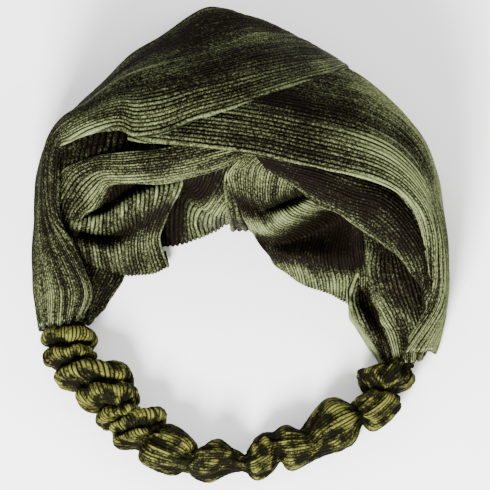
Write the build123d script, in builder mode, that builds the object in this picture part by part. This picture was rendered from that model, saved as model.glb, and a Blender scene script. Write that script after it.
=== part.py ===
"""Knotted headband of ribbed velvet, lying on its lower edge on a table.

X runs from the left join to the right join, Y from the elastic at the back of the head to the knot at
the front, and Z up.  The origin is under the middle of the headband.
"""

import os
from math import radians, tan

from build123d import *

# ---- Driving dimensions (mm) ----
EMBED = 2.0  # how far the fabric outlines start below the table, before they are cut flat at Z = 0

# The two wraps together make a hood.  Each station is one upright slice of it, from the left join round
# the front to the right join: the near foot and the far foot on the table, how far the ridge stands from
# the near foot, the ridge's height, and how much the outer and the inner slope bulge.
HOOD_STATIONS = [
    ((-59, -22), (-84, -20), 14, 27, 2.0, 2.0),
    ((-50, -6), (-79, 32), 19, 52, 3.0, 2.0),
    ((-28, 0), (-48, 83), 18, 73, 4.0, 2.0),
    ((4, 6), (-6, 106), 9, 79, 4.0, 1.0),
    ((30, -16), (44, 80), 22, 75, 4.0, 2.0),
    ((44, -26), (76, 43), 28, 61, 4.0, 3.0),
    ((51, -32), (84, -3), 25, 44, 2.0, 3.0),
    ((54, -38), (82.5, -34), 15, 27, 2.0, 2.0),
]

# Each join: its centre on the table, and the size of the gathered and sewn end of the strip there.
LEFT_JOIN = (-70.5, -40.0)
RIGHT_JOIN = (68.5, -54.0)
JOIN_WIDTH = 25.0
JOIN_HEIGHT = 15.0
JOIN_LENGTH = 6.0

# The line in plan where the strips meet: the left strip's edge runs from the crown down over the right
# strip, and its return comes out again under the right strip's crown edge.
CROSSING_EDGE = [(-36, 17), (-3, 39), (21, 58), (64, 98)]
RETURN_CORNER = (3, 9)
CUT_REACH = 140.0  # how far the crossing's cutting outline reaches past the headband
STRIP_CLEARANCE = 0.4  # gap left between the two hooked strips

# Casing: a scrunched tube about the elastic, lying on the table from join to join
CASING_ROUTE = [(-68, -59), (-50, -79), (-26, -94), (1, -99.5), (29, -94), (54, -81), (65, -67)]
BEND_SHARE = 0.45  # share of the shorter run beside a corner that its bend takes up
CASING_WIDTH = 15.0
CASING_HEIGHT = 19.0
CASING_WALL = 2.4  # bunched velvet
JOIN_CLEARANCE = 0.3  # gap between a strip's sewn end and the mouth of the casing
ELASTIC_THICKNESS = 1.5
ELASTIC_HEIGHT = 11.0

# Thread
THREAD = 1.0
THREAD_CLEARANCE = 0.3
STITCH_ROWS = 2
STITCH_ROW_PITCH = 2.4
STITCH_GAP = 1.2
STITCH_GAPS = 7
SEAM_WIDTH = 2.0
SEAM_GROOVE = 2.0  # depth of the groove in the strip's underside that a seam lies in
LEFT_SEAM_ROUTE = [(-70, -18), (-62, 16), (-36, 46)]
RIGHT_SEAM_ROUTE = [(68, -26), (60, 6), (38, 36)]

os.makedirs("parts", exist_ok=True)


def write(piece, name):
    """Label a finished sub-part and write it to its own file."""
    piece.part.label = name
    export_step(piece.part, f"parts/{name}.step")


def heading(start, end):
    """The level direction from one point of the plan to another."""
    return Vector(end[0] - start[0], end[1] - start[1], 0).normalized()


def bend_radius(before, corner, after):
    """The largest arc that rounds a corner of the casing's route within its share of the runs."""
    run_in, run_out = Vector(*corner) - Vector(*before), Vector(*after) - Vector(*corner)
    return BEND_SHARE * min(run_in.length, run_out.length) / tan(radians(run_in.get_angle(run_out) / 2))


def slice_plane(origin, onwards):
    """An upright plane that looks onwards round the headband, its X from the inside to the outside."""
    return Plane(origin=(origin[0], origin[1], 0), x_dir=Vector(0, 0, 1).cross(onwards), z_dir=onwards)


def tent_outline(width, ridge_at, ridge_height, outer_bulge, inner_bulge):
    """Foot to foot along the table, up the outer slope to the ridge and down the inner one."""
    near_foot, far_foot, ridge = (0, -EMBED), (width, -EMBED), (ridge_at, ridge_height)
    outer_middle = ((ridge_at + width) / 2 + outer_bulge, ridge_height / 2 + outer_bulge)
    inner_middle = (ridge_at / 2 - inner_bulge, ridge_height / 2 + inner_bulge)
    Line(near_foot, far_foot)
    ThreePointArc(far_foot, outer_middle, ridge)
    ThreePointArc(ridge, inner_middle, near_foot)


def gathered_outline():
    """A gathered end seen along the strip: flat on the table, rounded over the top."""
    half = JOIN_WIDTH / 2
    Line((-half, -EMBED), (half, -EMBED))
    ThreePointArc((half, -EMBED), (half * 0.7, JOIN_HEIGHT * 0.72), (0, JOIN_HEIGHT))
    ThreePointArc((0, JOIN_HEIGHT), (-half * 0.7, JOIN_HEIGHT * 0.72), (-half, -EMBED))


def crossing_outline(grown):
    """The left strip's share of the plan, grown outwards by a clearance."""
    low, high = -CUT_REACH, CUT_REACH
    corner = (RETURN_CORNER[0] + grown, RETURN_CORNER[1] + grown)
    tip = (CROSSING_EDGE[0][0] + 3 * grown, CROSSING_EDGE[0][1] + grown / 2)
    edge = [(x + grown, y - grown) for x, y in CROSSING_EDGE[1:]]
    Polyline((edge[-1][0], high), (low, high), (low, low), (corner[0], low), corner, tip)
    Spline(tip, *edge)
    Line(edge[-1], (edge[-1][0], high))


left_heading = heading(LEFT_JOIN, CASING_ROUTE[0])
right_heading = heading(RIGHT_JOIN, CASING_ROUTE[-1])
left_end = slice_plane(LEFT_JOIN, -left_heading)
right_end = slice_plane(RIGHT_JOIN, right_heading)

# ---- Hood: the common form of the two hooked strips, from join to join ----
with BuildPart() as hood:
    with BuildSketch(left_end.offset(JOIN_LENGTH)) as left_gather:
        with BuildLine():
            gathered_outline()
        make_face()
    for near, far, ridge_at, ridge_height, outer_bulge, inner_bulge in HOOD_STATIONS:
        across = heading(near, far)
        with BuildSketch(slice_plane(near, across.cross(Vector(0, 0, 1)))):
            with BuildLine():
                width = (Vector(*far) - Vector(*near)).length
                tent_outline(width, ridge_at, ridge_height, outer_bulge, inner_bulge)
            make_face()
    with BuildSketch(right_end.offset(-JOIN_LENGTH)) as right_gather:
        with BuildLine():
            gathered_outline()
        make_face()
    loft()
    extrude(left_gather.sketch, amount=-JOIN_LENGTH)
    extrude(right_gather.sketch, amount=JOIN_LENGTH)
    split(bisect_by=Plane.XY, keep=Keep.TOP)

# ---- Seam routes: one arc along the underside of each strip ----
with BuildLine() as left_seam_route:
    ThreePointArc(*LEFT_SEAM_ROUTE)
with BuildLine() as right_seam_route:
    ThreePointArc(*RIGHT_SEAM_ROUTE)
seam_clear_width = SEAM_WIDTH + 2 * THREAD_CLEARANCE

# ---- Left wrap: over the right strip at the crossing, back under its crown edge ----
with BuildPart() as left_wrap:
    add(hood.part)
    with BuildSketch():
        with BuildLine():
            crossing_outline(0)
        make_face()
    extrude(amount=CUT_REACH, mode=Mode.INTERSECT)
    with BuildSketch():
        SlotArc(left_seam_route.edge(), seam_clear_width)
    extrude(amount=SEAM_GROOVE, mode=Mode.SUBTRACT)
write(left_wrap, "left_wrap")

# ---- Right wrap: what the left one leaves of the hood ----
with BuildPart() as right_wrap:
    add(hood.part)
    with BuildSketch():
        with BuildLine():
            crossing_outline(STRIP_CLEARANCE)
        make_face()
    extrude(amount=CUT_REACH, mode=Mode.SUBTRACT)
    with BuildSketch():
        SlotArc(right_seam_route.edge(), seam_clear_width)
    extrude(amount=SEAM_GROOVE, mode=Mode.SUBTRACT)
write(right_wrap, "right_wrap")

# ---- Wrap seams: the thread that closes each strip, on its hidden underside ----
for route, name in ((left_seam_route, "left_wrap_seam"), (right_seam_route, "right_wrap_seam")):
    with BuildPart() as wrap_seam:
        with BuildSketch(Plane.XY.offset(THREAD_CLEARANCE)):
            SlotArc(route.edge(), SEAM_WIDTH)
        extrude(amount=THREAD)
    write(wrap_seam, name)

# ---- Join stitches: rows of short stitches over each gathered end ----
for inwards, name in (
    (left_end, "left_join_stitches"),
    (Plane(origin=right_end.origin, x_dir=-right_end.x_dir, z_dir=-right_end.z_dir), "right_join_stitches"),
):
    with BuildPart() as join_stitches:
        for row in range(STITCH_ROWS):
            with BuildSketch(inwards.offset(THREAD + row * STITCH_ROW_PITCH)):
                with BuildLine():
                    gathered_outline()
                make_face()
                offset(amount=THREAD_CLEARANCE + THREAD)
                with BuildLine():
                    gathered_outline()
                inside = make_face(mode=Mode.PRIVATE)
                offset(inside, amount=THREAD_CLEARANCE, mode=Mode.SUBTRACT)
                with Locations((0, -CUT_REACH / 2 + THREAD_CLEARANCE)):
                    Rectangle(CUT_REACH, CUT_REACH, mode=Mode.SUBTRACT)
                gap_step = 180 / STITCH_GAPS
                with PolarLocations(CUT_REACH / 2, STITCH_GAPS, gap_step / 2, 180, endpoint=False):
                    Rectangle(CUT_REACH, STITCH_GAP, mode=Mode.SUBTRACT)
            extrude(amount=THREAD)
    write(join_stitches, name)

# ---- Route of the back: straight runs and tangent arcs from mouth to mouth ----
left_mouth = Vector(*LEFT_JOIN) + left_heading * JOIN_CLEARANCE
right_mouth = Vector(*RIGHT_JOIN) + right_heading * JOIN_CLEARANCE
corners = [(left_mouth.X, left_mouth.Y), *CASING_ROUTE, (right_mouth.X, right_mouth.Y)]
with BuildLine(Plane.XY.offset(CASING_HEIGHT / 2)) as back_route:
    FilletPolyline(*corners, radius=[bend_radius(*corners[i : i + 3]) for i in range(len(CASING_ROUTE))])
back_path = back_route.wire()
back_start = Plane(
    origin=back_path @ 0, x_dir=(back_path % 0).cross(Vector(0, 0, 1)), z_dir=back_path % 0
)
inner_half_width = CASING_WIDTH / 2 - CASING_WALL

# ---- Elastic casing: the hollow tube of gathered velvet ----
with BuildPart() as elastic_casing:
    with BuildSketch(back_start):
        Ellipse(CASING_WIDTH / 2, CASING_HEIGHT / 2)
        Ellipse(inner_half_width, CASING_HEIGHT / 2 - CASING_WALL, mode=Mode.SUBTRACT)
    sweep(path=back_path)
write(elastic_casing, "elastic_casing")

# ---- Elastic band: flat, on edge, loose in the casing ----
with BuildPart() as elastic_band:
    with BuildSketch(back_start):
        Rectangle(ELASTIC_THICKNESS, ELASTIC_HEIGHT)
    sweep(path=back_path)
write(elastic_band, "elastic_band")

# ---- Casing seam: the thread that closes the tube, inside it on the side of the head ----
with BuildPart() as casing_seam:
    with BuildSketch(back_start):
        with Locations((-(inner_half_width - THREAD_CLEARANCE - THREAD / 2), 0)):
            Rectangle(THREAD, SEAM_WIDTH)
    sweep(path=back_path)
write(casing_seam, "casing_seam")
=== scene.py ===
"""Knotted headband of pleated olive velvet, lying on a pale table with its elastic towards the viewer.

Lengths are in metres in the CAD frame: X to the right, Y from the elastic to the knot, Z up.
"""

import math

import bmesh
import bpy
import numpy as np
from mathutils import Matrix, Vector, noise


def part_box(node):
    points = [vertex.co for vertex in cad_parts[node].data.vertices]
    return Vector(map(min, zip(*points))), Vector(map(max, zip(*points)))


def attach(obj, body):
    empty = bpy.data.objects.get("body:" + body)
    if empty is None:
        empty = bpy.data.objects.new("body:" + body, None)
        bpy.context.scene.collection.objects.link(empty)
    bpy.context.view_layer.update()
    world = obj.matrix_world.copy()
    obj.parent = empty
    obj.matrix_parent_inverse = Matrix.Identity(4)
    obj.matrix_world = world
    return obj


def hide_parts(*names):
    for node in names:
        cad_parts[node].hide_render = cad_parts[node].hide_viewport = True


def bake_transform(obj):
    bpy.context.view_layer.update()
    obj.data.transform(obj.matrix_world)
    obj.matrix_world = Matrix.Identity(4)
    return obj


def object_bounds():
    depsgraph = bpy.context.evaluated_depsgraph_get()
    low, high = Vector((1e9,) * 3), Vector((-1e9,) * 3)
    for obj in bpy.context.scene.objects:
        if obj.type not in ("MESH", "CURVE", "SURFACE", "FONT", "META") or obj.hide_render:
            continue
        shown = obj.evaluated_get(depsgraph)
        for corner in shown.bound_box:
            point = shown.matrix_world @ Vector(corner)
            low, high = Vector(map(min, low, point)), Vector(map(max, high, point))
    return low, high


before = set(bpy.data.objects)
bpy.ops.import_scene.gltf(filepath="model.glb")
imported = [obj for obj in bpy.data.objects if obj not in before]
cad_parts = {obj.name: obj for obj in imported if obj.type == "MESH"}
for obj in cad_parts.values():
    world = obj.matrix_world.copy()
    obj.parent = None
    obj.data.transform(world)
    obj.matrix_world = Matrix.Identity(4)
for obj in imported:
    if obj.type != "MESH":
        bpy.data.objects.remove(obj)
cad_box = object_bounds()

MM = 0.001

# ---------------------------------------------------------------------------------------------------
# Camera and light.  A long lens looks down over the elastic; a big soft lamp stands over the viewer's
# left shoulder, and a weaker one fills the far side.

aim = Vector((2.9 * MM, -8.2 * MM, 18 * MM))
elevation = math.radians(68)
camera_distance = 6.0
view_width = 0.2028  # how wide a strip of the table the camera sees at that distance
sensor_width = 36
camera_data = bpy.data.cameras.new("camera")
camera_data.sensor_width = sensor_width
camera_data.lens = sensor_width * camera_distance / view_width
camera_data.clip_end = 20
camera = bpy.data.objects.new("camera", camera_data)
bpy.context.collection.objects.link(camera)
camera.location = aim + camera_distance * Vector((0, -math.cos(elevation), math.sin(elevation)))
camera.rotation_euler = (math.pi / 2 - elevation, 0, 0)
bpy.context.scene.camera = camera


lamp_target = Vector((0, 0, 0.03))  # the middle of the headband


def soft_lamp(name, place, size, watts):
    """A square white area lamp that faces the headband."""
    lamp_data = bpy.data.lights.new(name, "AREA")
    lamp_data.shape = "SQUARE"
    lamp_data.size = size
    lamp_data.energy = watts
    lamp = bpy.data.objects.new(name, lamp_data)
    bpy.context.collection.objects.link(lamp)
    lamp.location = place
    lamp.rotation_euler = (lamp_target - Vector(place)).to_track_quat("-Z", "Y").to_euler()


soft_lamp("key_lamp", place=(-0.2, -0.85, 0.55), size=0.3, watts=60)
soft_lamp("fill_lamp", place=(0.8, 0.1, 0.5), size=0.5, watts=8)
soft_lamp("back_lamp", place=(-0.3, 0.7, 0.9), size=0.5, watts=6)
world = bpy.data.worlds.new("studio")
world.use_nodes = True
world.node_tree.nodes["Background"].inputs["Color"].default_value = (1.0, 1.0, 1.0, 1.0)
world.node_tree.nodes["Background"].inputs["Strength"].default_value = 1.2
bpy.context.scene.world = world

# ---------------------------------------------------------------------------------------------------
# Table.  A plain pale sheet, just under the headband's lowest fold.


def new_material(name):
    """A material with one Principled shader, and that shader."""
    material = bpy.data.materials.new(name)
    material.use_nodes = True
    return material, material.node_tree.nodes["Principled BSDF"]


table_drop = 0.3 * MM
table_bm = bmesh.new()
bmesh.ops.create_grid(table_bm, x_segments=1, y_segments=1, size=3.0)
bmesh.ops.translate(table_bm, verts=table_bm.verts, vec=(0, 0, cad_box[0][2] - table_drop))
table_mesh = bpy.data.meshes.new("table")
table_bm.to_mesh(table_mesh)
table_bm.free()
table = bpy.data.objects.new("table", table_mesh)
bpy.context.collection.objects.link(table)
table_paint, table_shader = new_material("white_table")
table_shader.inputs["Base Color"].default_value = (0.93, 0.93, 0.93, 1)
table_shader.inputs["Roughness"].default_value = 0.9
table_shader.inputs["Specular IOR Level"].default_value = 0.1
table.data.materials.append(table_paint)

# ---------------------------------------------------------------------------------------------------
# Pleated velvet, pressed into fine ribs that close up where a strip is gathered.  The crests are
# yellow-green, and the grooves between them are painted almost black-brown as painted shade.  Light and
# shade are painted into the pile's colour as well.

RIB_STEPS = 4  # mesh columns to one rib
RIB_CLOTH = 3.5 * MM  # cloth along one rib, up and over its crest
CLOTH_THICKNESS = 0.7 * MM
LOWEST_CLOTH = 0.75 * MM  # leaves room below the surface for the cloth's thickness
CROWDED_PITCH = 1.15 * MM  # ribs closer together than this begin to lie in gathers
GATHER_RIBS = 4.4  # ribs to one gather
# the gathers' light and shade are painted into the colour at this share of their height
GATHER_MIDDLE = 0.62  # a gather is lit above this share of its height and dark below it
GATHER_HEIGHT = 1.1 * MM
# the darkest painted shade that a point's colour may take
DARKEST_PAINTED_SHADE = -0.22
EVENNESS = 0.7  # 0 leaves the points of a slice where they are, 1 spreads its ribs evenly
HILL_HEIGHT = 0.8 * MM  # slow hills and hollows of soft cloth


def velvet(name, groove, painted_shaded_pile, painted_lit_pile, sheen_tint, patch_scale=60.0, patch_shine=0.14):
    """Velvet coloured by two mesh attributes, with speckled tufts: the rib height, which paints shade into the
    grooves, and the light and shade painted into the pile.
    """
    material, shader = new_material(name)
    nodes, links = material.node_tree.nodes, material.node_tree.links
    place = nodes.new("ShaderNodeTexCoord")
    height = nodes.new("ShaderNodeAttribute")
    height.attribute_name = "rib_height"
    # the light and shade painted into the cloth's colour, with its random streaks
    painted_light_and_streaks = nodes.new("ShaderNodeAttribute")
    painted_light_and_streaks.attribute_name = "pile_painted_light"

    patches = nodes.new("ShaderNodeTexNoise")  # pile brushed this way and that
    patches.inputs["Scale"].default_value = patch_scale
    patches.inputs["Detail"].default_value = 4.0
    links.new(place.outputs["Object"], patches.inputs["Vector"])
    pile = nodes.new("ShaderNodeTexNoise")  # single tufts
    pile.inputs["Scale"].default_value = 1150.0
    pile.inputs["Detail"].default_value = 2.0
    pile.inputs["Roughness"].default_value = 0.8
    links.new(place.outputs["Object"], pile.inputs["Vector"])
    bump = nodes.new("ShaderNodeBump")
    bump.inputs["Strength"].default_value = 0.8
    bump.inputs["Distance"].default_value = 0.35 * MM
    links.new(pile.outputs["Fac"], bump.inputs["Height"])
    links.new(bump.outputs["Normal"], shader.inputs["Normal"])

    tufts = nodes.new("ShaderNodeMapRange")
    tufts.inputs["From Min"].default_value = 0.40
    tufts.inputs["From Max"].default_value = 0.66
    tufts.inputs["To Min"].default_value = -0.28
    tufts.inputs["To Max"].default_value = 0.50
    links.new(pile.outputs["Fac"], tufts.inputs["Value"])
    brushed = nodes.new("ShaderNodeMapRange")
    brushed.inputs["From Min"].default_value = 0.38
    brushed.inputs["From Max"].default_value = 0.64
    brushed.inputs["To Min"].default_value = -0.9 * patch_shine
    brushed.inputs["To Max"].default_value = patch_shine
    links.new(patches.outputs["Fac"], brushed.inputs["Value"])
    first_sum = nodes.new("ShaderNodeMath")
    links.new(painted_light_and_streaks.outputs["Fac"], first_sum.inputs[0])
    links.new(tufts.outputs["Result"], first_sum.inputs[1])
    brightness = nodes.new("ShaderNodeMath")
    brightness.use_clamp = True
    links.new(first_sum.outputs["Value"], brightness.inputs[0])
    links.new(brushed.outputs["Result"], brightness.inputs[1])

    # painted light and shade: the pile's colour runs from a painted shaded copy of the olive to a painted lit
    # copy
    lit_and_shaded_pile_mix = nodes.new("ShaderNodeMix")
    lit_and_shaded_pile_mix.data_type = "RGBA"
    lit_and_shaded_pile_mix.inputs["A"].default_value = (*painted_shaded_pile, 1)
    lit_and_shaded_pile_mix.inputs["B"].default_value = (*painted_lit_pile, 1)
    contrast = nodes.new("ShaderNodeMath")
    contrast.operation = "POWER"
    contrast.inputs[1].default_value = 1.6
    links.new(brightness.outputs["Value"], contrast.inputs[0])
    links.new(contrast.outputs["Value"], lit_and_shaded_pile_mix.inputs["Factor"])
    # painted shade in the grooves: low on a rib the colour goes to a near-black groove colour, high on it to
    # the pile's colour
    crest = nodes.new("ShaderNodeMapRange")
    crest.interpolation_type = "SMOOTHSTEP"
    crest.inputs["From Min"].default_value = 0.25
    crest.inputs["From Max"].default_value = 0.9
    links.new(height.outputs["Fac"], crest.inputs["Value"])
    colour = nodes.new("ShaderNodeMix")
    colour.data_type = "RGBA"
    colour.inputs["A"].default_value = (*groove, 1)
    links.new(crest.outputs["Result"], colour.inputs["Factor"])
    links.new(lit_and_shaded_pile_mix.outputs["Result"], colour.inputs["B"])
    links.new(colour.outputs["Result"], shader.inputs["Base Color"])

    shader.inputs["Roughness"].default_value = 0.6
    shader.inputs["Specular IOR Level"].default_value = 0.015
    shader.inputs["Sheen Weight"].default_value = 0.05
    shader.inputs["Sheen Roughness"].default_value = 0.3
    shader.inputs["Sheen Tint"].default_value = (*sheen_tint, 1)
    return material


wrap_velvet = velvet(
    "wrap_velvet",
    # near black: painted shade in the grooves
    groove=(0.0007, 0.0004, 0.0003),
    # a painted shaded and a painted lit copy of the same olive
    painted_shaded_pile=(0.0036, 0.0023, 0.0013),
    painted_lit_pile=(0.124, 0.146, 0.062),
    sheen_tint=(0.3, 0.34, 0.16),
)


def smooth_through(points, count):
    """Resample rows of points (row, column, xyz) along the rows by a Catmull-Rom curve."""
    points = np.asarray(points, float)
    last = len(points) - 1
    place = np.linspace(0, last, count)
    before = np.minimum(place.astype(int), last - 1)
    t = (place - before).reshape(-1, *[1] * (points.ndim - 1))
    ghost = np.concatenate([2 * points[:1] - points[1:2], points, 2 * points[-1:] - points[-2:-1]])
    p0, p1, p2, p3 = (ghost[before + step] for step in range(4))
    return 0.5 * (
        2 * p1 + (p2 - p0) * t + (2 * p0 - 5 * p1 + 4 * p2 - p3) * t**2 + (3 * p1 - p0 - 3 * p2 + p3) * t**3
    )


def evened(rows):
    """Slide the points of each row along it, so that its ribs are spread more evenly."""
    steps = np.linalg.norm(np.diff(rows, axis=1), axis=2)
    share = np.linspace(0, 1, rows.shape[1])
    out = np.empty_like(rows)
    for i, row in enumerate(rows):
        run = np.concatenate([[0], np.cumsum(steps[i])])
        run /= run[-1]
        wanted = EVENNESS * share + (1 - EVENNESS) * run
        for axis in range(3):
            out[i, :, axis] = np.interp(wanted, run, row[:, axis])
    return out


def pleated_cloth(name, net, painted_light_given, seed, pleat_height=1.0, bend_painted_light=0.2, closed=False):
    """Build pleated cloth on a net of points (along, across, xyz), with its pleats and its painted light and
    shade.

    Where the net is narrower than the flat cloth, the ribs close up and stand higher, as pleats do;
    pleat_height scales that.  The bend weight is how much painted highlight a bend outwards gets, and
    how much painted shade a hollow gets, on top of the light and shade painted at each point.  A closed
    cloth is a tube whose last column repeats its first.
    """
    along, across = net.shape[:2]
    margin = 8 if closed else 0
    if closed:
        net = np.concatenate([net[:, -1 - margin:-1], net, net[:, 1:margin + 1]], axis=1)
    du = np.gradient(net, axis=0)
    dv = np.gradient(net, axis=1)
    normal = np.cross(du, dv)
    normal /= np.linalg.norm(normal, axis=2, keepdims=True) + 1e-12
    pitch = np.linalg.norm(dv, axis=2) * RIB_STEPS
    pitch = np.clip(pitch, 0.3 * MM, RIB_CLOTH * 0.985)
    tall = 0.45 * np.sqrt(np.maximum(RIB_CLOTH**2 - pitch**2, 0)) + 0.12 * MM
    tall = pleat_height * np.minimum(tall, 0.42 * pitch + 0.25 * MM)

    # painted light and shade: the colour is painted lighter where the cloth bends outwards, and darker in the
    # hollows
    bend = np.zeros(net.shape[:2])
    for axis, reach in ((0, 5), (1, 8)):
        off_line = net - 0.5 * (np.roll(net, -reach, axis) + np.roll(net, reach, axis))
        keep = [slice(None), slice(None)]
        keep[axis] = slice(reach, -reach)
        bend[tuple(keep)] += ((off_line * normal).sum(axis=2) / MM)[tuple(keep)]
    if closed:
        inner = slice(margin, margin + across)
        net, normal, tall, bend = net[:, inner], normal[:, inner], tall[:, inner], bend[:, inner]
    painted_light_and_streaks = painted_light_given + bend_painted_light * np.clip(bend, -2.2, 2.6)

    # where the ribs are crowded together, groups of them lie in gathers, painted lit above and dark below
    crowd = np.clip((CROWDED_PITCH - pitch) / (0.5 * MM), 0, 1)
    if closed:
        crowd = np.zeros(net.shape[:2])
    drift = np.array([1.1 * noise.noise(Vector((i / 60, seed, 2.2))) for i in range(along)])[:, None]
    gather = np.abs(np.sin(math.pi * np.arange(across)[None, :] / (RIB_STEPS * GATHER_RIBS) + drift))
    # painted light and shade on the gathers
    painted_light_and_streaks = painted_light_and_streaks + crowd * (gather - GATHER_MIDDLE) * 1.1
    crest = np.abs(np.sin(math.pi * np.arange(across) / RIB_STEPS)) ** 0.8
    relief = np.empty((along, across))
    for j in range(across):
        rib, groove = j // RIB_STEPS, (j + RIB_STEPS // 2) // RIB_STEPS
        if closed:
            ribs_round = (across - 1) // RIB_STEPS
            rib, groove = rib % ribs_round, groove % ribs_round
        for i in range(along):
            swell = 0.92 + 0.35 * noise.noise(Vector((i / 14, rib * 3.7, seed)))
            depth = 0.8 + 0.5 * noise.noise(Vector((i / 22, groove * 5.3, seed + 40)))
            relief[i, j] = swell * (1 - min(depth, 1.0) * (1 - crest[j]))
            # random light and dark streaks along the ribs: uneven pile, with the slow broad ones painted fold
            # shading
            streak = 0.9 * noise.noise(Vector((i / 40 + 3.1 * seed, rib * 2.37, seed)))
            streak += 0.9 * noise.noise(Vector((i / 80, rib * 0.27, seed + 60)))
            painted_light_and_streaks[i, j] += streak * (0.2 + 0.7 * max(painted_light_and_streaks[i, j], 0))
    # a painted highlight along both edges of an open cloth
    if not closed:
        rim = np.minimum(np.arange(across), across - 1 - np.arange(across))
        painted_light_and_streaks += 0.45 * np.exp(-((rim / 3.5) ** 2))[None, :]
    shape = net + normal * (relief * tall + crowd * gather * GATHER_HEIGHT)[..., None]
    shape[..., 2] = np.maximum(shape[..., 2], LOWEST_CLOTH)

    bm = bmesh.new()
    bmesh.ops.create_grid(bm, x_segments=along - 1, y_segments=across - 1, size=0.5, calc_uvs=True)
    bm.verts.ensure_lookup_table()
    height_layer = bm.verts.layers.float.new("rib_height")
    # the light and shade painted into the cloth's colour, point by point
    painted_light_layer = bm.verts.layers.float.new("pile_painted_light")
    for index, vert in enumerate(bm.verts):
        column, row = divmod(index, along)
        vert.co = Vector(shape[row, column])
        vert[height_layer] = min(max(relief[row, column], 0), 1)
        vert[painted_light_layer] = min(max(painted_light_and_streaks[row, column], DARKEST_PAINTED_SHADE), 1)
    if closed:
        bmesh.ops.remove_doubles(bm, verts=bm.verts, dist=1e-7)
    for face in bm.faces:
        face.smooth = True
    mesh = bpy.data.meshes.new(name)
    bm.to_mesh(mesh)
    bm.free()
    cloth = bpy.data.objects.new(name, mesh)
    bpy.context.collection.objects.link(cloth)
    return cloth


def pleated_sheet(name, stations, painted_light_along, painted_light_across, ribs, along, seed, up=True):
    """Drape one run of a pleated strip over its stations, with a little thickness.

    stations are slices across the strip, in the order that its ribs run, in millimetres; along is the
    number of mesh rows they are resampled to.  The painted light is the light and shade painted into the
    cloth's colour at each station and at each point of a slice: the two add up, and a negative sum is painted
    dark.
    """
    across = ribs * RIB_STEPS + 1
    net = smooth_through(np.array(stations, float) * MM, along)
    net = smooth_through(net.transpose(1, 0, 2), across).transpose(1, 0, 2)
    net = evened(net)
    painted_light_given = smooth_through(np.array(painted_light_along, float)[:, None], along)
    painted_light_given = painted_light_given + smooth_through(np.array(painted_light_across, float)[:, None], across).T
    if not up:  # the slices run the other way round, so the cloth is built from its far edge
        net, painted_light_given = net[:, ::-1], painted_light_given[:, ::-1]
    slopes = np.cross(np.gradient(net, axis=0), np.gradient(net, axis=1))
    slopes /= np.linalg.norm(slopes, axis=2, keepdims=True) + 1e-12
    for i in range(along):
        for j in range(across):
            hill = noise.noise(Vector((i / along * 9 + seed, j / across * 4, seed * 1.7)))
            net[i, j] += slopes[i, j] * HILL_HEIGHT * hill
    sheet = pleated_cloth(name, net, painted_light_given, seed)
    sheet.data.materials.append(wrap_velvet)
    thickness = sheet.modifiers.new("cloth_thickness", "SOLIDIFY")
    thickness.thickness = CLOTH_THICKNESS
    thickness.offset = -1
    return sheet


STRIP_RIBS = 50  # across a whole strip, where it spreads over the front
LEFT_OUTER_ROWS = 210  # mesh rows along the three runs that carry the join stitches
RIGHT_OUTER_ROWS = 200
RIGHT_ROLL_ROWS = 140

# ---------------------------------------------------------------------------------------------------
# Left wrap, outer run.  The strip leaves the left join gathered, climbs the side of the hood, fans out
# over the front on top of the right strip, and turns under that strip's floor edge.

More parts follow.
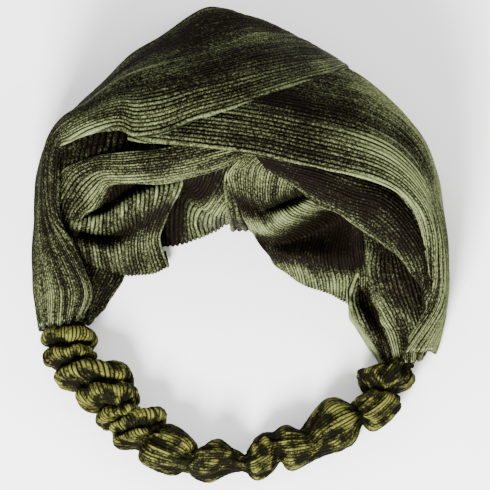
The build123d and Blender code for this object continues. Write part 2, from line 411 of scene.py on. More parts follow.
left_outer = pleated_sheet(
    "left_wrap_outer_run",
    [  # from the turned-in crown edge to the floor edge
        [(-68, -39, 5), (-66, -38, 10), (-70, -41, 13), (-76, -43, 13),
         (-81, -42, 8), (-80, -40, 2), (-70, -38, 2)],
        [(-65, -27, 7), (-61, -28, 13), (-67, -30, 18), (-75, -30, 18),
         (-83, -27, 11), (-83, -25, 2), (-68, -24, 2)],
        [(-68, -19, 16), (-64, -20, 20), (-70, -20, 25), (-77, -19, 23),
         (-83, -16, 15), (-84, -13, 3), (-72, -10, 2)],
        [(-72, -13, 24), (-68, -13, 28), (-74, -12, 30), (-79, -9, 27),
         (-83, -5, 18), (-84, 0, 4), (-76, 4, 1)],
        [(-75, -3, 34), (-74, -4, 37), (-77, -1, 36), (-80, 3, 32),
         (-82, 7, 24), (-84, 10, 14), (-84, 14, 1)],
        [(-74, 9, 41), (-75, 8, 44), (-78, 11, 42), (-80, 15, 36),
         (-82, 19, 26), (-83, 23, 15), (-82, 27, 1)],
        [(-73, 22, 46), (-74, 21, 50), (-76, 25, 48), (-78, 29, 41),
         (-79, 33, 29), (-79, 37, 16), (-78, 42, 1)],
        [(-66, 27, 53), (-69, 23, 57), (-70, 30, 56), (-71, 36, 49),
         (-73, 41, 35), (-73, 46, 18), (-72, 53, 1)],
        [(-57, 28, 60), (-60, 24, 64), (-61, 32, 62), (-61, 39, 54),
         (-63, 45, 42), (-64, 54, 22), (-63, 63, 1)],
        [(-47, 27, 64), (-49, 24, 68), (-49, 35, 66), (-51, 46, 56),
         (-54, 51, 45), (-54, 61, 24), (-53, 74, 1)],
        [(-40, 24, 67), (-42, 20, 70), (-41, 34, 70), (-41, 51, 57),
         (-45, 57, 46), (-45, 68, 25), (-44, 84, 1)],
        [(-30, 24, 70), (-31, 20, 73), (-30, 37, 71), (-28, 55, 58),
         (-33, 62, 46), (-33, 76, 25), (-32, 92, 1)],
        [(-17, 29, 71), (-18, 25, 75), (-17, 42, 70), (-15, 59, 56),
         (-20, 67, 45), (-22, 83, 24), (-20, 101, 1)],
        [(-2, 35, 68), (-3, 31, 73), (-3, 49, 66), (-2, 68, 48),
         (-8, 77, 37), (-12, 92, 19), (-13, 105, 1)],
        [(15, 46, 58), (15, 42, 64), (12, 59, 56), (7, 79, 35),
         (2, 86, 27), (-3, 97, 13), (-7, 105, 1)],
        [(28, 57, 44), (28, 53, 50), (23, 70, 40), (15, 86, 21),
         (10, 92, 16), (4, 98, 8), (-3, 104, 1)],
        [(37, 66, 28), (38, 63, 34), (32, 77, 24), (22, 89, 12),
         (16, 93, 9), (9, 98, 5), (0, 102, 1)],
        [(43, 73, 12), (45, 72, 15), (38, 80, 11), (28, 88, 6),
         (21, 92, 5), (13, 96, 4), (3, 101, 1)],
        [(44, 73, 4), (46, 74, 5), (40, 80, 4), (30, 87, 3),
         (23, 91, 3), (15, 95, 2.5), (5, 100, 1)],
        [(41, 68, 2), (43, 69, 2), (37, 75, 2), (28, 81, 2),
         (21, 85, 2), (13, 89, 1.5), (4, 94, 1)],
        [(34, 58, 3), (35, 58, 3), (29, 64, 3), (21, 70, 3),
         (15, 74, 3), (8, 78, 3), (0, 83, 3)],
    ],
    # painted light and shade of this run, station by station and across its slices
    painted_light_along=[0.2, 0.24, 0.0, -0.2, -0.25, -0.24, -0.14, 0, 0.05, 0.04, 0]
    + [-0.06, -0.1, -0.12, -0.12, -0.08, 0, 0, 0, 0, 0],
    painted_light_across=[0.0, 0.3, 0.06, 0.28, -0.04, 0.0, 0.15],
    ribs=STRIP_RIBS,
    along=LEFT_OUTER_ROWS,
    seed=3,
)
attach(left_outer, "front")

# ---------------------------------------------------------------------------------------------------
# Right wrap, outer run.  The strip climbs from the right join round the side, and its crown edge runs
# almost straight across the top until it dives under the left strip.

right_outer = pleated_sheet(
    "right_wrap_outer_run",
    [  # from the turned-in crown edge to the floor edge
        [(67, -54, 8), (68, -55, 12), (71, -54, 13), (75, -53, 12), (79, -51, 7), (81, -50, 1)],
        [(73, -45, 12), (74, -46, 16), (77, -45, 16), (80, -44, 13), (83, -42, 7), (83, -41, 1)],
        [(78, -37, 16), (79, -38, 20), (82, -37, 19), (84, -36, 14), (85, -34, 7), (85, -33, 1)],
        [(79, -29, 21), (81.5, -30, 25), (84, -29, 22), (85.5, -27, 15), (85.5, -25, 8), (85, -24, 1)],
        [(77, -22, 28), (80.5, -21, 31), (84, -19, 27), (86, -17, 18), (86, -15, 9), (85.5, -14, 1)],
        [(76, -13, 34), (79.5, -13, 38), (83, -9, 34), (85.5, -5, 23), (86, -2, 11), (85.5, 0, 1)],
        [(73, -6, 40), (77.5, -7, 44), (81, 1, 40), (84, 7, 27), (84.5, 11, 13), (84, 13, 1)],
        [(69, -1, 47), (73.5, -3, 51), (77, 9, 47), (81, 18, 32), (81.5, 24, 15), (80, 29, 1)],
        [(62, 3, 54), (66, 1, 58), (71, 16, 53), (76, 30, 38), (76, 38, 18), (73, 45, 1)],
        [(52, 6, 61), (56, 3, 65), (61, 21, 60), (66, 39, 43), (66, 51, 22), (62, 62, 1)],
        [(40, 8, 66), (43, 4, 70), (47, 24, 66), (52, 45, 49), (53, 61, 26), (51, 74, 1)],
        [(24, 10, 70), (26, 6, 74), (30, 26, 70), (36, 47, 53), (38, 64, 30), (38, 81, 1)],
        [(6, 13, 71), (7, 10, 75.5), (12, 29, 71), (17, 48, 56), (20, 66, 33), (22, 84, 2)],
        [(-14, 18, 69), (-14, 14, 74), (-9, 32, 70), (-2, 50, 57), (2, 68, 34), (6, 88, 3)],
        [(-34, 21, 65), (-35, 18, 69), (-32, 34, 65), (-27, 51, 54), (-22, 68, 32), (-18, 85, 3)],
        [(-44, 24, 60), (-45, 22, 62), (-42, 36, 59), (-38, 50, 50), (-34, 62, 32), (-30, 76, 3)],
    ],
    # painted light and shade of this run, station by station and across its slices
    painted_light_along=[0.42, 0.3, 0.12, 0.12, 0.26, 0.34, 0.4, 0.42, 0.4, 0.26, 0.02, -0.16, -0.22, -0.14, 0, 0],
    painted_light_across=[0.0, 0.3, 0.05, 0.24, 0.35, 0.3],
    ribs=STRIP_RIBS,
    along=RIGHT_OUTER_ROWS,
    seed=8,
    up=False,
)
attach(right_outer, "front")

# ---------------------------------------------------------------------------------------------------
# Left wrap, inner run.  The strip comes out under the right strip's crown edge as a taut band, turns
# down behind the outer run, and crumples across its width into a ruffle, a tunnel and a lip.

left_band = pleated_sheet(
    "left_wrap_inner_band",
    [  # from the crown side to the lit lower edge and its roll underneath
        [(14, 21, 66), (14, 18, 68), (14, 15, 67), (14, 13, 64), (14, 13, 58)],
        [(3, 20, 70), (3, 17, 70), (3, 14, 69), (3, 12.5, 66), (3, 14, 61)],
        [(-10, 17, 71), (-9, 14, 72), (-8, 10, 71), (-7, 7, 67), (-7, 9, 62)],
        [(-22, 15, 71), (-21, 10, 72), (-20, 6, 70), (-19, 4, 65), (-19, 6, 60)],
        [(-34, 14, 68), (-33, 9, 70), (-32, 5, 68), (-31, 2, 63), (-31, 5, 57)],
        [(-47, 14, 64), (-46, 9, 66), (-45, 6, 64), (-45, 3, 60), (-45, 6, 53)],
        [(-60, 16, 55), (-58, 11, 59), (-56, 7, 58), (-54, 5, 53), (-52, 8, 47)],
        [(-71, 15, 46), (-67, 11, 51), (-61, 5, 50), (-56, 4, 45), (-53, 8, 40)],
        [(-75, 13, 37), (-71, 8, 42), (-65, 3, 41), (-60, 1, 37), (-56, 5, 33)],
        [(-77, 8, 30), (-74, 4, 34), (-69, 1, 33), (-65, 0, 30), (-61, 3, 26)],
        [(-78, -3, 20), (-75, -5, 23), (-72, -6, 22), (-69, -7, 20), (-66, -5, 17)],
        [(-75, -26, 8), (-73, -26, 9), (-70, -25, 9), (-68, -24, 9), (-65, -22, 8)],
    ],
    # painted light and shade: the band lit along its lower edge and dark where it rolls under
    painted_light_along=[0.0, 0.06, 0.12, 0.14, 0.14, 0.14, 0.12, 0.08, 0.04, 0, 0, 0],
    painted_light_across=[-0.1, 0.05, 0.15, 0.2, -0.4],
    ribs=18,
    along=200,
    seed=5,
)
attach(left_band, "front")

left_ruffle = pleated_sheet(
    "left_wrap_ruffle",
    [  # from the left side, behind the outer run, to the ruffle's free rim
        [(-66, 6, 32), (-60, 8, 38), (-55, 10, 46), (-46, 10, 54), (-34, 10, 57), (-20, 11, 60)],
        [(-68, 4, 24), (-61, 4, 26), (-54, 6, 28), (-46, 10, 33), (-37, 12, 38), (-25, 13, 42)],
        [(-69, -1, 28), (-61, -2, 31), (-54, -1, 34), (-46, 2, 40), (-35, 6, 45), (-22, 9, 47)],
        [(-70, -3, 25), (-61, -6, 28), (-53, -6, 31), (-45, -3, 37), (-35, 1, 42), (-24, 5, 44)],
        [(-70, 1, 16), (-61, -2, 17), (-52, -4, 20), (-43, -4, 27), (-36, -1, 33), (-27, 2, 36)],
        [(-69, -9, 21), (-60, -12, 23), (-52, -13, 22), (-44, -9.5, 20), (-38, -6, 18), (-32, -4, 17)],
        [(-66, -13, 8), (-60, -14, 5), (-50, -15, 3), (-42, -15, 3), (-35, -14.5, 4), (-28.5, -12, 5)],
        [(-64, -6, 4), (-58, -5, 2), (-49, -5, 1.5), (-41, -5, 1.5), (-35, -5, 1.5), (-30, -4, 1.5)],
    ],
    # painted light and shade: the hollow under the band dark, the ruffle's crest lit, its folds dark
    painted_light_along=[-0.3, -0.5, 0.4, 0.12, -0.4, 0.25, 0.0, 0.0],
    painted_light_across=[0.0, 0.0, 0.0, 0.05, 0.15, 0.1],
    ribs=27,
    along=210,
    seed=6,
)
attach(left_ruffle, "front")

left_tunnel = pleated_sheet(
    "left_wrap_tunnel",
    [  # from the ruffle's rim to the knot
        [(-20, 15, 62), (-12, 14, 64), (-4, 14, 65), (4, 14, 64), (10, 13, 60)],
        [(-22, 10, 54), (-15, 9, 54), (-9, 8, 50), (-3, 7, 45), (3, 6, 38)],
        [(-24, 9, 46), (-19, 8, 44), (-14, 4, 36), (-9, 4, 29), (-3, 4, 22)],
        [(-35, 16, 36), (-24, 13, 30), (-15, 5, 25), (-9, 4, 20), (-2, 4, 16)],
        [(-38, 12, 18), (-26, 11, 13), (-17, 4, 11), (-9, 5, 9), (-2, 6, 8)],
        [(-38, -1, 1), (-27, -1, 1), (-17, 2, 1), (-9, 6, 1), (-3, 10, 1)],
        [(-36, 6, 1), (-27, 7, 1), (-16, 9, 1), (-9, 13, 1), (-3, 17, 1)],
    ],
    # painted light and shade: the tunnel's dark mouth is painted shade
    painted_light_along=[-0.1, -0.2, 0.3, 0.3, 0.3, 0.3, 0.0],
    painted_light_across=[-1.2, -1.2, 0.05, 0.4, 0.15],
    ribs=20,
    along=170,
    seed=9,
)
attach(left_tunnel, "front")

left_cavity = pleated_sheet(
    "left_wrap_cavity_ply",
    [  # from the side to the crown, below the outer run's crown edge
        [(-70, 38, 40), (-65, 40, 46), (-55, 44, 52), (-42, 45, 55), (-28, 46, 56)],
        [(-74, 28, 42), (-68, 29, 50), (-58, 30, 56), (-44, 31, 60), (-30, 32, 61)],
        [(-75, 18, 40), (-69, 19, 47), (-60, 19, 55), (-47, 19, 59), (-33, 20, 62)],
        [(-75, 9, 34), (-70, 9, 41), (-62, 9, 48), (-49, 8, 54), (-36, 8, 58)],
    ],
    # painted shade, darker towards the crown side of the cavity ply
    painted_light_along=[0.0, 0.0, 0.0, 0.0],
    painted_light_across=[0.0, -0.1, -0.2, -0.2, -0.2],
    ribs=18,
    along=90,
    seed=11,
)
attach(left_cavity, "front")

left_return = pleated_sheet(
    "left_wrap_return_ply",
    [  # from behind the fan to the free edge over the table
        [(-72, -14, 14), (-62, -12, 12), (-52, -10, 8), (-44, -9, 2)],
        [(-74, -22, 15), (-66, -22, 12), (-58, -20, 9), (-49, -20, 2)],
        [(-74, -30, 13), (-69, -31, 12), (-63, -31, 9), (-56, -31, 2)],
        [(-74, -40, 11), (-70, -40, 11), (-66, -39, 8), (-62, -38, 3)],
    ],
    # painted light and shade of this ply, station by station and across its slices
    painted_light_along=[-0.1, -0.05, 0.0, 0.1],
    painted_light_across=[0.0, 0.0, 0.0, 0.1],
    ribs=18,
    along=80,
    seed=13,
)
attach(left_return, "front")
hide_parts("left_wrap")

# ---------------------------------------------------------------------------------------------------
# Right wrap, inner run.  It comes back from the knot below the crown edge: a taut band along the crown,
# deep folds across the strip that fall to the table, and a rolled ply that gathers into the right join.

right_folds = pleated_sheet(
    "right_wrap_inner_folds",
    [  # from the crown side, under the band, to the free edge
        [(40, 9, 66), (31, 10, 68), (22, 11, 69), (13, 13, 68), (5, 15, 66)],
        [(33, 7, 60), (25, 6, 62), (15, 7, 63), (6, 9, 61), (-4, 9, 56)],
        [(28, 5, 55), (21, 2, 55), (12, 0, 53), (5, 1, 52), (-3, 5, 50)],
        [(30, 5, 44), (21, 3, 38), (12, 1, 36), (6, 1, 37), (0, 2, 40)],
        [(38, 2, 48), (31, -1, 47), (21, -5, 42), (12, -7, 33), (4, -3, 27)],
        [(50, 2, 38), (43, 2, 25), (31, -1, 16), (19, -4, 12), (8, -4, 12)],
        [(52, -12, 24), (46, -15, 22), (34, -14, 20), (22, -11, 14), (12, -7, 6)],
        [(54, -19, 16), (47, -21, 13), (36, -21, 12), (25, -16, 8), (15, -10, 2)],
        [(54, -27, 3), (46, -27, 2), (36, -22, 1), (26, -17, 1), (17, -11, 1)],
        [(56, -18, 1.5), (48, -17, 1.5), (38, -12, 1.5), (28, -8, 1.5), (18, -4, 1.5)],
    ],
    # painted light and shade: the fold ridges painted lit and the fold valleys painted dark
    painted_light_along=[0.2, 0.55, 0.25, -0.6, 0.6, -0.7, -0.55, 0.5, 0.0, -0.3],
    painted_light_across=[-0.15, 0.0, 0.05, 0.05, 0.0],
    ribs=32,
    along=240,
    seed=12,
    up=False,
)
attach(right_folds, "front")

right_band = pleated_sheet(
    "right_wrap_inner_band",
    [  # from the crown edge, under the outer run, to the lit lower edge and its roll underneath
        [(6, 13, 72), (8, 10, 69), (11, 8, 65), (14, 8, 60), (14, 11, 55)],
        [(20, 10, 71), (20, 6, 68), (21, 3, 64), (24, 2, 58), (25, 6, 53)],
        [(34, 8, 68), (33, 3, 66), (32, -1, 61), (32, -4, 54), (33, 0, 49)],
        [(47, 5, 63), (46, 0, 61), (44, -5, 57), (42, -7, 50), (43, -3, 45)],
        [(64, 4, 50), (58, -4, 54), (55, -9, 51), (50, -11, 46), (51, -7, 41)],
        [(75, -3, 41), (67, -10, 46), (63, -14, 44), (57, -14, 41), (57, -10, 36)],
        [(81, -12, 30), (74, -18, 37), (69, -21, 37), (64, -18, 36), (64, -14, 31)],
        [(83, -24, 21), (78, -27, 28), (75, -27, 29), (70, -22, 29), (70, -18, 24)],
        [(81, -36, 20), (80, -36, 20), (78, -35, 21), (75, -27, 20), (74, -23, 16)],
        [(80, -46, 12), (79, -46, 12), (77, -45, 13), (75, -43, 12), (74, -40, 9)],
    ],
    # painted light and shade: the band painted dark as shadow under the outer run's crown edge, lit along its
    # lower edge and dark where it rolls under
    painted_light_along=[0.0, 0.0, -0.05, -0.05, -0.05, -0.05, 0.0, 0.05, 0.1, 0.15],
    painted_light_across=[-0.25, -0.25, -0.2, 0.25, -0.5],
    ribs=20,
    along=170,
    seed=14,
    up=False,
)
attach(right_band, "front")

right_roll = pleated_sheet(
    "right_wrap_rolled_ply",
    [  # from the outer side over the flat ply, down into the roll, over its thick rim and to the table
        [(72, -20, 26), (66, -16, 28), (59, -11, 29), (52, -6, 30),
         (55, -4, 16), (56, -6, 10), (52, -10, 6)],
        [(77, -23, 22), (70, -22, 26), (62, -21, 27), (54, -20, 25),
         (55, -15, 10), (51, -16, 16), (53, -12, 6)],
        [(80, -30, 16), (73, -31, 21), (65, -31, 23), (57, -29, 21),
         (53, -23, 7), (46, -27, 13), (48, -24, 1)],
        [(82, -38, 12), (75, -40, 17), (68, -40, 19), (60, -39, 17),
         (56, -36, 9), (48, -37, 12), (47, -34, 1)],
        [(81, -46, 10), (76, -46, 14), (70, -47, 15), (63, -47, 14),
         (60, -46, 12), (55, -46, 11), (53, -44, 1)],
        [(76, -56, 9), (73, -58, 12.5), (70, -59, 14), (67, -59, 14),
         (65, -59.5, 13), (62, -59.5, 9), (60, -58, 2)],
    ],
    # painted light and shade: the roll painted dark inside and lit on its thick rim
    painted_light_along=[0.0, 0.05, 0.12, 0.35, 0.6, 0.6],
    painted_light_across=[-0.2, -0.25, -0.2, 0.0, -0.9, 0.8, 0.4],
    ribs=32,
    along=RIGHT_ROLL_ROWS,
    seed=15,
    up=False,
)
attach(right_roll, "front")

right_under_ply = pleated_sheet(
    "right_wrap_under_ply",
    [  # a narrow turned-back edge beside the free edge of the folds
        [(4, 12, 60), (0, 12, 60), (-4, 12, 57)],
        [(-1, 8, 52), (-3, 7, 52), (-6, 7, 50)],
        [(1, 3, 40), (-2, 2, 40), (-5, 3, 38)],
        [(4, 0, 28), (0, 0, 27), (-4, 1, 24)],
        [(7, 1, 12), (2, 1, 12), (-3, 2, 10)],
    ],
    # painted light of this ply, station by station and across its slices
    painted_light_along=[0.2, 0.15, 0.1, 0.1, 0.1],
    painted_light_across=[0.0, 0.0, 0.3],
    ribs=4,
    along=80,
    seed=16,
    up=False,
)
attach(right_under_ply, "front")
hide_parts("right_wrap")

# ---------------------------------------------------------------------------------------------------
# Elastic casing.  A tube of the same velvet, longer than the relaxed elastic inside it, so that it
# scrunches into uneven lobes with tight necks between them.

casing_velvet = velvet(
    "casing_velvet",
    # near black: painted shade in the grooves between the ribs
    groove=(0.0013, 0.0011, 0.0005),
    # a painted shaded and a painted lit copy of the same olive
    painted_shaded_pile=(0.0032, 0.0028, 0.0012),
    painted_lit_pile=(0.086, 0.088, 0.019),
    sheen_tint=(0.3, 0.28, 0.08),
    patch_scale=190.0,
    patch_shine=0.5,
)

# the crests of the lobes and the creases between them, from the left join round to the right one: the
# outer point and the inner point of each ring (X, Y) and its half height (mm)
CASING_RINGS = [
    ((-76, -38), (-66, -38), 2.5),
    ((-77, -41.5), (-64, -41.5), 4.0),
    ((-80, -47), (-60, -47), 8.5),
    ((-78, -50.5), (-63, -51), 6.0),
    ((-79, -56), (-60.5, -53), 8.5),
    ((-73, -60), (-62, -57), 6.0),
    ((-74, -62), (-48, -60), 8.5),
    ((-73, -65), (-44.5, -65), 9.0),
    ((-66, -69), (-47, -67), 6.0),
    ((-66, -72), (-42, -71), 8.5),
    ((-61, -77), (-43, -75), 7.5),
    ((-55, -78.5), (-44, -77), 5.5),
    ((-57, -83), (-41, -79.5), 7.0),
    ((-50.5, -85), (-41, -80), 5.5),
    ((-51, -87), (-31, -80), 8.0),
    ((-49, -90), (-33, -86), 6.0),
    ((-50, -93), (-32, -88), 7.5),
    ((-41, -96), (-32, -88), 6.0),
    ((-38, -101), (-26, -87.5), 8.5),
    ((-29, -104), (-18, -93), 9.0),
    ((-22, -104), (-17, -97), 6.0),
    ((-18, -106), (-12, -94), 8.5),
    ((-12, -107), (-8, -92.5), 9.0),
    ((-6, -105), (-3, -94.5), 7.0),
    ((0.5, -104), (1, -97), 4.5),
    ((3.5, -105), (4, -98), 4.5),
    ((7.5, -107), (7, -93.5), 7.5),
    ((12.5, -104), (10.5, -89.5), 8.5),
    ((17.5, -100.5), (14, -88.5), 7.0),
    ((22.5, -102.5), (19.5, -87.5), 8.5),
    ((31, -100), (26, -87.5), 7.5),
    ((36, -96.5), (31, -81), 8.0),
    ((45, -91.5), (38, -75.5), 9.0),
    ((51, -84), (47, -76), 5.5),
    ((52, -83), (49, -76), 5.0),
    ((57, -85), (49, -74.5), 7.0),
    ((65, -77), (52, -73), 7.5),
    ((64, -72), (54.5, -72), 5.5),
    ((66, -69), (51.5, -65.5), 8.0),
    ((71, -65), (52.5, -61.5), 8.5),
    ((70.5, -60), (60, -59), 6.0),
    ((72, -57), (62, -58), 4.0),
    ((72, -53), (65, -54), 2.5),
]
CASING_RIBS = 44
CASING_ROWS = 345
CASING_NAP = -0.2
RING_HEIGHT = 8.9  # of every ring's middle over the table (mm)
RING_HALF = 0.475  # a little under half of the way between a ring's two points
LOBE_ROWS = 25  # a ring's reach is compared with the mean over this many rows


def scrunched_tube():
    """Sweep rings through the crests and creases, puff the lobes out, and wrinkle the cloth."""
    columns = CASING_RIBS * RIB_STEPS + 1
    angle = np.linspace(0, 2 * math.pi, columns)
    keys = []
    for outer, inner, half_height in CASING_RINGS:
        outer, inner = np.array([*outer, RING_HEIGHT]), np.array([*inner, RING_HEIGHT])
        flat_way = np.cos(angle)[:, None] * (outer - inner) * RING_HALF
        keys.append((outer + inner) / 2 + flat_way + np.sin(angle)[:, None] * np.array([0, 0, half_height]))
    net = smooth_through(np.array(keys) * MM, CASING_ROWS)
    middle = net[:, :-1].mean(axis=1, keepdims=True)
    heading = np.gradient(smooth_through(middle[::23, 0], CASING_ROWS), axis=0)
    heading /= np.linalg.norm(heading, axis=1, keepdims=True)
    reach = np.linalg.norm(net - middle, axis=2)
    window = np.ones(LOBE_ROWS) / LOBE_ROWS
    usual = np.empty_like(reach)
    for j in range(columns):
        usual[:, j] = np.convolve(np.pad(reach[:, j], LOBE_ROWS // 2, "edge"), window, "valid")
    puff = np.clip((reach - usual) / MM, -1.2, 2.0)
    slope = np.cross(np.gradient(net, axis=0), np.gradient(net, axis=1))
    slope /= np.linalg.norm(slope, axis=2, keepdims=True) + 1e-12
    if (slope * (net - middle)).sum() < 0:
        slope = -slope
    for i in range(CASING_ROWS):
        for j in range(columns):
            c, d = math.cos(angle[j]), math.sin(angle[j])
            lump = noise.noise(Vector((i / 16, 1.1 * c, 1.1 * d)))
            skew = noise.noise(Vector((i / 22 + 7, 1.3 * c, 1.3 * d)))
            crumple = 1 - 2 * abs(noise.noise(Vector((i / 11 + 0.9 * c, 2.2 * c, 2.2 * d + i / 30))))
            move = 0.75 * puff[i, j] + 1.3 * lump + 1.2 * crumple
            net[i, j] += slope[i, j] * move * MM + heading[i] * skew * 2.4 * MM
    net[:, -1] = net[:, 0]
    z = net[..., 2]
    low = 1.5 * MM  # below this the tube flattens towards the table
    net[..., 2] = np.where(z < low, 0.5 * MM + 1.0 * MM * np.exp((z - low) / low), z)
    return net


tube_net = scrunched_tube()
casing = pleated_cloth(
    "scrunched_casing",
    tube_net,
    painted_light_given=np.full(tube_net.shape[:2], CASING_NAP),
    seed=4,
    pleat_height=0.3,
    # painted highlight on the lobes where they bulge out, and painted shade in the creases between them
    bend_painted_light=0.34,
    closed=True,
)
casing.data.materials.append(casing_velvet)
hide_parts("elastic_casing")
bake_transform(casing)

# ---------------------------------------------------------------------------------------------------
# Elastic band.  Woven elastic 11 mm wide inside the casing, with rubber cords running along it and a
# cotton weft across them.  It stands on edge, and curls where the casing's neck is tight.

woven_elastic, elastic_shader = new_material("woven_elastic")
elastic_nodes, elastic_links = woven_elastic.node_tree.nodes, woven_elastic.node_tree.links
elastic_place = elastic_nodes.new("ShaderNodeTexCoord")
weft = elastic_nodes.new("ShaderNodeTexWave")
weft.wave_type = "BANDS"
weft.bands_direction = "X"
weft.inputs["Scale"].default_value = 70.0
weft.inputs["Distortion"].default_value = 0.6
weft.inputs["Detail"].default_value = 1.0
elastic_links.new(elastic_place.outputs["UV"], weft.inputs["Vector"])
elastic_ramp = elastic_nodes.new("ShaderNodeMix")
elastic_ramp.data_type = "RGBA"
elastic_ramp.inputs["A"].default_value = (0.010, 0.010, 0.009, 1)
elastic_ramp.inputs["B"].default_value = (0.030, 0.030, 0.028, 1)
elastic_links.new(weft.outputs["Fac"], elastic_ramp.inputs["Factor"])
elastic_links.new(elastic_ramp.outputs["Result"], elastic_shader.inputs["Base Color"])
elastic_bump = elastic_nodes.new("ShaderNodeBump")
elastic_bump.inputs["Distance"].default_value = 0.2 * MM
elastic_links.new(weft.outputs["Fac"], elastic_bump.inputs["Height"])
elastic_links.new(elastic_bump.outputs["Normal"], elastic_shader.inputs["Normal"])
elastic_shader.inputs["Roughness"].default_value = 0.8

ELASTIC_RINGS = 260
ELASTIC_COLUMNS = 25
ELASTIC_HALF_WIDTH = 5.5 * MM
NECK_SHARE = 0.62  # of the room in a neck, which the elastic may fill
centre_line = smooth_through(tube_net[:, :-1].mean(axis=1)[::10], ELASTIC_RINGS)
reach = np.linalg.norm(tube_net[:, :-1] - tube_net[:, :-1].mean(axis=1, keepdims=True), axis=2)
room = np.array([reach[max(row - 8, 0):row + 9].min() for row in range(len(reach))])
room = np.interp(np.linspace(0, 1, ELASTIC_RINGS), np.linspace(0, 1, len(room)), room)
forward = np.gradient(centre_line, axis=0)
forward /= np.linalg.norm(forward, axis=1, keepdims=True)
elastic_bm = bmesh.new()
bmesh.ops.create_grid(
    elastic_bm, x_segments=ELASTIC_RINGS - 1, y_segments=ELASTIC_COLUMNS - 1, size=0.5, calc_uvs=True
)
elastic_bm.verts.ensure_lookup_table()
for index, vert in enumerate(elastic_bm.verts):
    column, ring = divmod(index, ELASTIC_RINGS)
    share = 2 * column / (ELASTIC_COLUMNS - 1) - 1
    half_width = min(ELASTIC_HALF_WIDTH, NECK_SHARE * room[ring])
    curled = 0.45 * room[ring] * (1 - half_width / ELASTIC_HALF_WIDTH)
    cord = 0.15 * MM * math.cos(column * math.pi / 2)
    aside = cord + curled * math.sin(math.pi * share)
    side = Vector((forward[ring][1], -forward[ring][0], 0))
    vert.co = Vector(centre_line[ring]) + side * aside + Vector((0, 0, share * half_width))
for face in elastic_bm.faces:
    face.smooth = True
elastic_mesh = bpy.data.meshes.new("woven_elastic_band")
elastic_bm.to_mesh(elastic_mesh)
elastic_bm.free()
elastic = bpy.data.objects.new("woven_elastic_band", elastic_mesh)
bpy.context.collection.objects.link(elastic)
elastic.data.materials.append(woven_elastic)
elastic_thickness = elastic.modifiers.new("band_thickness", "SOLIDIFY")
elastic_thickness.thickness = 1.1 * MM
elastic_thickness.offset = 0
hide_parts("elastic_band")
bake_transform(elastic)

# ---------------------------------------------------------------------------------------------------
# Thread.  Two-ply polyester: pale at the joins, where short stitches hold the gathered wrap ends in the
# casing, and dark olive in the long seams of the casing and of the two wraps.


def thread_material(name, shade, light):
    """Twisted thread: a fine diagonal stripe over its colour."""
    material, shader = new_material(name)
    nodes, links = material.node_tree.nodes, material.node_tree.links
    place = nodes.new("ShaderNodeTexCoord")
    twist = nodes.new("ShaderNodeTexWave")
    twist.bands_direction = "DIAGONAL"
    twist.inputs["Scale"].default_value = 900.0
    links.new(place.outputs["Object"], twist.inputs["Vector"])
    ply = nodes.new("ShaderNodeMix")
    ply.data_type = "RGBA"
    ply.inputs["A"].default_value = (*shade, 1)
    ply.inputs["B"].default_value = (*light, 1)
    links.new(twist.outputs["Fac"], ply.inputs["Factor"])
    links.new(ply.outputs["Result"], shader.inputs["Base Color"])
    bump = nodes.new("ShaderNodeBump")
    bump.inputs["Distance"].default_value = 0.08 * MM
    links.new(twist.outputs["Fac"], bump.inputs["Height"])
    links.new(bump.outputs["Normal"], shader.inputs["Normal"])
    shader.inputs["Roughness"].default_value = 0.5
    return material


def stitched_thread(name, stitches, radius, material):
    """One mesh of stitches; each is a bowed bar of thread, thinner and sunk in at its ends."""
    bm = bmesh.new()
    for start, end, up in stitches:
        start, end, up = Vector(start), Vector(end), Vector(up).normalized()
        made = bmesh.ops.create_uvsphere(bm, u_segments=8, v_segments=9, radius=1.0)
        along_stitch = (end - start).normalized()
        across_stitch = up.cross(along_stitch).normalized()
        half = (end - start).length / 2
        middle = (start + end) / 2
        for vert in made["verts"]:
            x, y, z = vert.co.x, vert.co.y, vert.co.z
            bow = 0.35 * radius * 3 * (1 - z * z)
            vert.co = middle + along_stitch * z * half + across_stitch * x * radius + up * (y * radius + bow)
    for face in bm.faces:
        face.smooth = True
    mesh = bpy.data.meshes.new(name)
    bm.to_mesh(mesh)
    bm.free()
    thread = bpy.data.objects.new(name, mesh)
    bpy.context.collection.objects.link(thread)
    thread.data.materials.append(material)
    return thread


STITCH_GAP = 2.0 * MM
STITCH_LENGTH = 1.3  # (mm)
JOIN_THREAD_RADIUS = 0.2 * MM


def stitches_on(cloth, rows, row):
    """Short stitches along the ribs of a pleated cloth that has so many rows, spaced across one row."""
    points = [v.co for v in cloth.data.vertices]
    normals = [v.normal for v in cloth.data.vertices]
    out = []
    for column in range(RIB_STEPS // 2, len(points) // rows, RIB_STEPS):
        index = column * rows + row
        ahead = points[index + 2] - points[index]
        if out and (points[index] - out[-1][0]).length < STITCH_GAP:
            continue
        if ahead.length > 0.05 * MM:
            out.append((points[index], points[index] + ahead.normalized() * STITCH_LENGTH * MM, normals[index]))
    return out


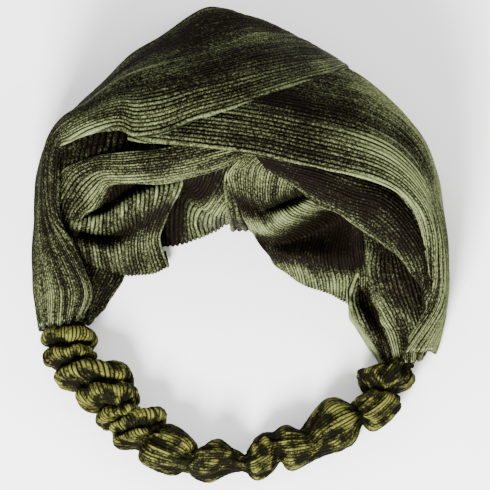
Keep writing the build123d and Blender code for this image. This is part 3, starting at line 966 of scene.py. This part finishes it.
join_thread = thread_material("join_thread", shade=(0.1, 0.1, 0.05), light=(0.3, 0.3, 0.18))
seam_thread = thread_material("seam_thread", shade=(0.004, 0.004, 0.002), light=(0.014, 0.013, 0.005))
left_join = stitched_thread(
    "left_join_thread", stitches_on(left_outer, LEFT_OUTER_ROWS, 1), JOIN_THREAD_RADIUS, join_thread
)
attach(left_join, "front")
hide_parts("left_join_stitches")
right_stitches = stitches_on(right_outer, RIGHT_OUTER_ROWS, 1)
right_stitches += stitches_on(right_roll, RIGHT_ROLL_ROWS, RIGHT_ROLL_ROWS - 3)
right_join = stitched_thread("right_join_thread", right_stitches, JOIN_THREAD_RADIUS, join_thread)
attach(right_join, "front")
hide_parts("right_join_stitches")

# the casing's long seam: straight machine stitches down the inner side of the tube, near the table
seam_column = 5 * CASING_RIBS * RIB_STEPS // 8
casing_stitches = []
for ring in range(6, tube_net.shape[0] - 8, 3):
    first, second = Vector(tube_net[ring, seam_column]), Vector(tube_net[ring + 2, seam_column])
    outwards = first - Vector(tube_net[ring, :-1].mean(axis=0))
    if (second - first).length > 0.3 * MM:
        casing_stitches.append((first, second, outwards))
casing_seam = stitched_thread("casing_seam_thread", casing_stitches, 0.22 * MM, seam_thread)
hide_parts("casing_seam")
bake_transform(casing_seam)

# each wrap's long seam lies on its underside, next to the table
SEAM_HEIGHT = 0.8 * MM
SEAM_PITCH = 2.6 * MM
for side, node in (("left", "left_wrap_seam"), ("right", "right_wrap_seam")):
    low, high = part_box(node)
    if side == "left":
        seam_start = Vector((low[0], low[1], SEAM_HEIGHT))
        seam_end = Vector((high[0], high[1], SEAM_HEIGHT))
    else:
        seam_start = Vector((high[0], low[1], SEAM_HEIGHT))
        seam_end = Vector((low[0], high[1], SEAM_HEIGHT))
    count = int((seam_end - seam_start).length / SEAM_PITCH)
    wrap_stitches = []
    for k in range(count):
        here = seam_start.lerp(seam_end, k / count)
        there = seam_start.lerp(seam_end, (k + 0.8) / count)
        wrap_stitches.append((here, there, (0, 0, -1)))
    wrap_seam = stitched_thread(side + "_wrap_seam_thread", wrap_stitches, 0.25 * MM, seam_thread)
    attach(wrap_seam, "front")
    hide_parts(node)
